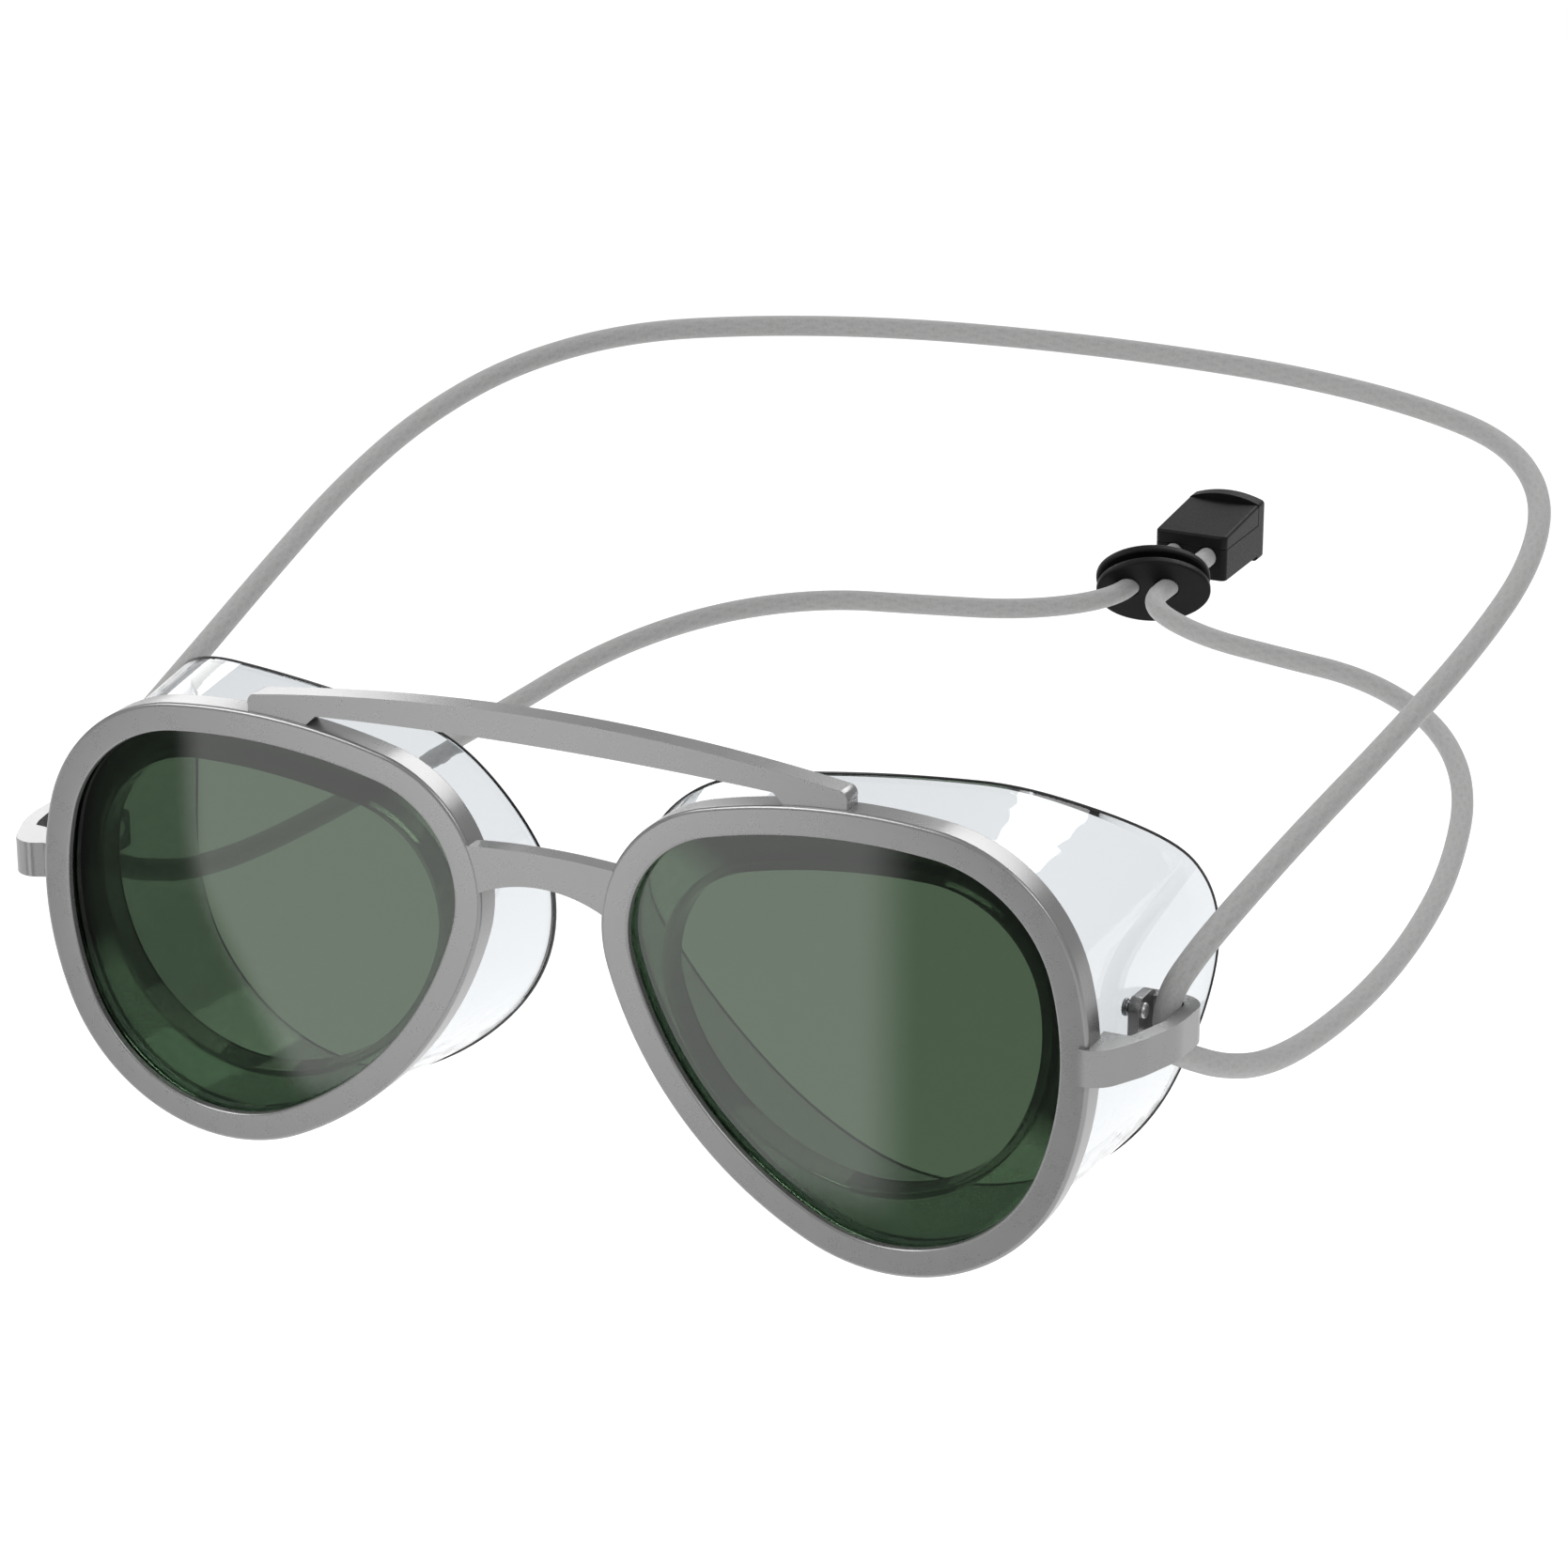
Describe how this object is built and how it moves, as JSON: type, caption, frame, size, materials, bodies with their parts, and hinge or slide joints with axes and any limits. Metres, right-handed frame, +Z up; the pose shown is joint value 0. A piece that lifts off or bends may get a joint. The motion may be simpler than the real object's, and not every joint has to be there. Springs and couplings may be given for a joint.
{
  "type": "welding goggles",
  "caption": "Aviator-shaped welding goggles with green filter lenses, clear side-shield eye cups, a double bridge and an elastic head cord with a sliding cord lock.",
  "frame": {"origin": "middle of the rear face of the nose bridge, on the mid-plane", "axes": "-Y the way the wearer looks, +X the wearer's left, +Z up"},
  "size_m": [0.1772, 0.2437, 0.0695],
  "materials": {
    "rim_metal": "satin",
    "filter_glass": "gloss",
    "clear_plastic": "gloss",
    "retainer_plastic": "satin",
    "gasket_rubber": "matte",
    "rivet_steel": "satin",
    "cord_elastic": "matte",
    "black_plastic": "satin"
  },
  "bodies": {
    "goggles": {"left_rim": "rim_metal", "left_lens_gasket": "gasket_rubber", "left_filter_lens": "filter_glass", "left_lens_retainer": "retainer_plastic", "left_eye_cup": "clear_plastic", "left_strap_lug": "rim_metal", "left_lug_rivet": "rivet_steel", "right_rim": "rim_metal", "right_lens_gasket": "gasket_rubber", "right_filter_lens": "filter_glass", "right_lens_retainer": "retainer_plastic", "right_eye_cup": "clear_plastic", "right_strap_lug": "rim_metal", "right_lug_rivet": "rivet_steel", "brow_bar": "rim_metal", "nose_bridge": "rim_metal", "head_cord": "cord_elastic", "end_block": "black_plastic", "end_block_lid": "black_plastic", "cord_crimps": "rivet_steel"},
    "cord_lock": {"cord_lock": "black_plastic"}
  },
  "joints": [
    {"name": "cord_lock_slide", "type": "slide", "parent": "goggles", "child": "cord_lock", "axis": [0, 1, 0], "range_m": [0, 0.0098]}
  ]
}
